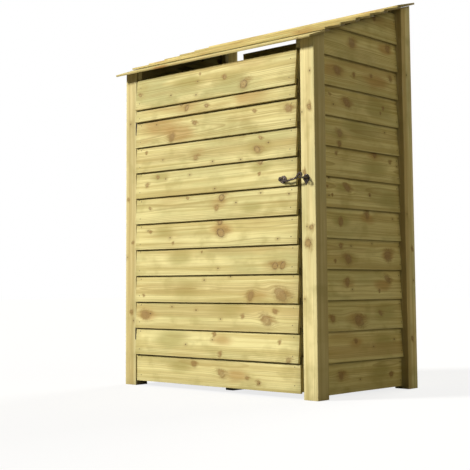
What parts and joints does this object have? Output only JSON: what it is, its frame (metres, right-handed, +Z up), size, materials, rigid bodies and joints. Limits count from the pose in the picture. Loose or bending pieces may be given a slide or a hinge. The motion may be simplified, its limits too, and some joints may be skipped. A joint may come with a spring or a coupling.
{
  "type": "log store",
  "caption": "Tall narrow timber log store with a lapped sloping roof, lapped boarded walls, a boarded door on hinges and an iron cabin hook.",
  "frame": {"origin": "on the ground, under the middle of the whole outline with its roof overhangs", "axes": "+Z up, the door faces -Y, +X is the side that the door closes against"},
  "size_m": [1.196, 0.807, 1.7877],
  "materials": {
    "board_softwood": "sawn, pressure treated",
    "roof_softwood": "sawn, pressure treated",
    "frame_softwood": "planed, pressure treated",
    "black_iron": "black, satin"
  },
  "bodies": {
    "root": {"back_bottom_rail": "frame_softwood", "back_wall_batten_left": "frame_softwood", "back_wall_batten_middle": "frame_softwood", "back_wall_batten_right": "frame_softwood", "back_wall_boards": "board_softwood", "door_stop": "frame_softwood", "floor_bearer": "frame_softwood", "floor_slats": "board_softwood", "hinge_lower_post_leaf": "black_iron", "hinge_upper_post_leaf": "black_iron", "left_bottom_rail": "frame_softwood", "left_rafter": "frame_softwood", "left_wall_batten_back": "frame_softwood", "left_wall_batten_front": "frame_softwood", "left_wall_boards": "board_softwood", "post_back_left": "frame_softwood", "post_back_right": "frame_softwood", "post_front_left": "frame_softwood", "post_front_right": "frame_softwood", "post_hook_rose": "black_iron", "post_hook_staple": "black_iron", "right_bottom_rail": "frame_softwood", "right_rafter": "frame_softwood", "right_wall_batten_back": "frame_softwood", "right_wall_batten_front": "frame_softwood", "right_wall_boards": "board_softwood", "roof_board_1": "roof_softwood", "roof_board_2": "roof_softwood", "roof_board_3": "roof_softwood", "roof_board_4": "roof_softwood", "roof_board_5": "roof_softwood", "roof_board_6": "roof_softwood", "roof_board_7": "roof_softwood"},
    "door": {"door_boards": "board_softwood", "door_stile_hinge": "frame_softwood", "door_stile_latch": "frame_softwood", "door_rail_bottom": "frame_softwood", "door_rail_middle": "frame_softwood", "door_rail_top": "frame_softwood", "door_brace_lower": "frame_softwood", "door_brace_upper": "frame_softwood", "hinge_lower_door_leaf": "black_iron", "hinge_upper_door_leaf": "black_iron", "door_hook_plate": "black_iron"},
    "hook": {"cabin_hook": "black_iron"}
  },
  "joints": [
    {"name": "door_hinge", "type": "hinge", "parent": "root", "child": "door", "pos_m": [-0.4995, -0.35534, 0.74], "axis": [0, 0, -1], "range_deg": [0, 105]},
    {"name": "hook_pivot", "type": "hinge", "parent": "door", "child": "hook", "pos_m": [0.423, -0.38534, 0.91], "axis": [0, -1, 0], "range_deg": [0, 170]}
  ]
}
